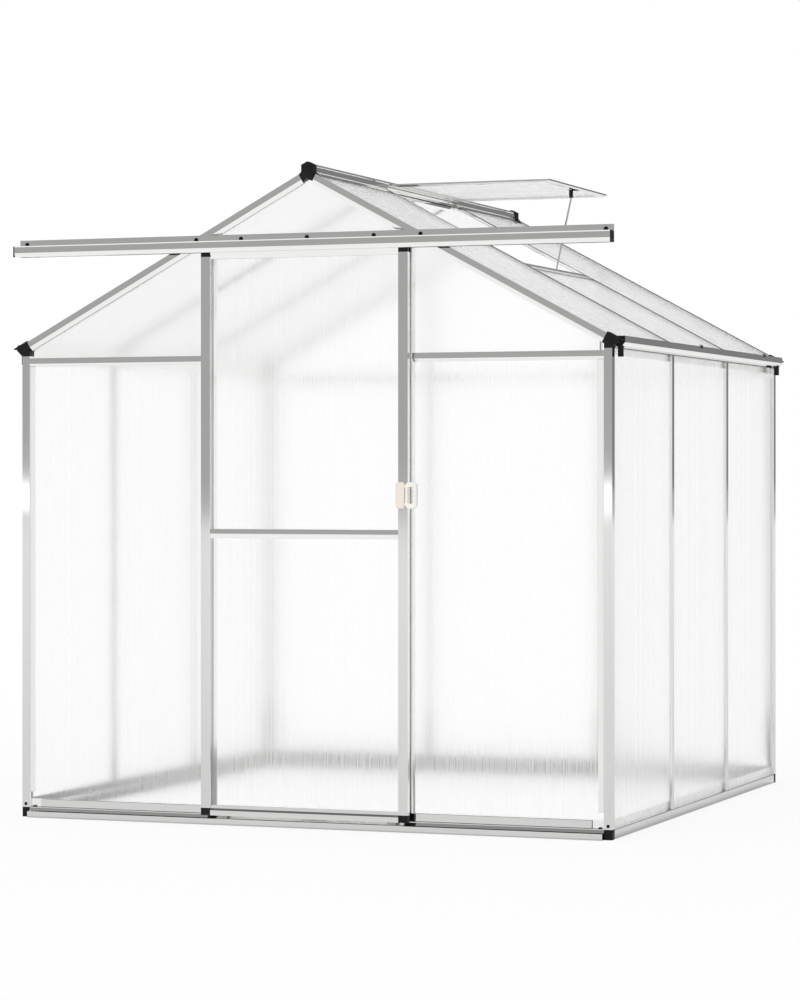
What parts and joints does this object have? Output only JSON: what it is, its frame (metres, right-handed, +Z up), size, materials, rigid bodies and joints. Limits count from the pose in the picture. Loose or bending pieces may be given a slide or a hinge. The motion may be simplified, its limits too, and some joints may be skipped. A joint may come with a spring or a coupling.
{
  "type": "polycarbonate greenhouse",
  "caption": "Walk-in greenhouse with an aluminium frame, twin-wall sheets, gabled roof with an open vent, gutters and a sliding door.",
  "frame": {"origin": "on the ground, under the middle of the whole object's box", "axes": "+X to the right seen from the door, +Y from the door to the back, +Z up"},
  "size_m": [1.96, 1.968, 1.9907],
  "materials": {
    "aluminium_profile": "mill-finish extrusion",
    "twin_wall_sheet": "clear twin-wall polycarbonate, milky through its ribs",
    "black_plastic": "moulded",
    "cream_plastic": "moulded, satin"
  },
  "bodies": {
    "frame": {"base_front_rail": "aluminium_profile", "base_back_rail": "aluminium_profile", "base_left_rail": "aluminium_profile", "base_right_rail": "aluminium_profile", "base_corners": "black_plastic", "corner_posts": "aluminium_profile", "door_jambs": "aluminium_profile", "door_header": "aluminium_profile", "front_eave_rails": "aluminium_profile", "back_eave_rail": "aluminium_profile", "side_studs": "aluminium_profile", "back_studs": "aluminium_profile", "eave_beams": "aluminium_profile", "gutters": "aluminium_profile", "eave_corners": "black_plastic", "downspouts": "black_plastic", "ridge_beam": "aluminium_profile", "ridge_caps": "black_plastic", "front_rafters": "aluminium_profile", "back_rafters": "aluminium_profile", "roof_bars": "aluminium_profile", "door_top_track": "aluminium_profile", "door_track_ends": "black_plastic", "door_bottom_track": "aluminium_profile", "front_wall_sheets": "twin_wall_sheet", "back_wall_sheets": "twin_wall_sheet", "left_wall_sheets": "twin_wall_sheet", "right_wall_sheets": "twin_wall_sheet", "front_gable_sheets": "twin_wall_sheet", "back_gable_sheets": "twin_wall_sheet", "left_roof_sheets": "twin_wall_sheet", "right_roof_sheets": "twin_wall_sheet", "vent_sill": "aluminium_profile", "vent_hinge": "aluminium_profile", "vent_frame": "aluminium_profile", "vent_sheet": "twin_wall_sheet", "vent_bracket": "black_plastic", "vent_stay": "aluminium_profile"},
    "door": {"door_stiles": "aluminium_profile", "door_rails": "aluminium_profile", "door_sheets": "twin_wall_sheet", "door_end_caps": "black_plastic", "door_hangers": "aluminium_profile", "door_rollers": "black_plastic", "door_guides": "black_plastic", "door_handle": "cream_plastic"}
  },
  "joints": [
    {"name": "door_slide", "type": "slide", "parent": "frame", "child": "door", "axis": [1, 0, 0], "range_m": [-0.6, 0.6]}
  ]
}
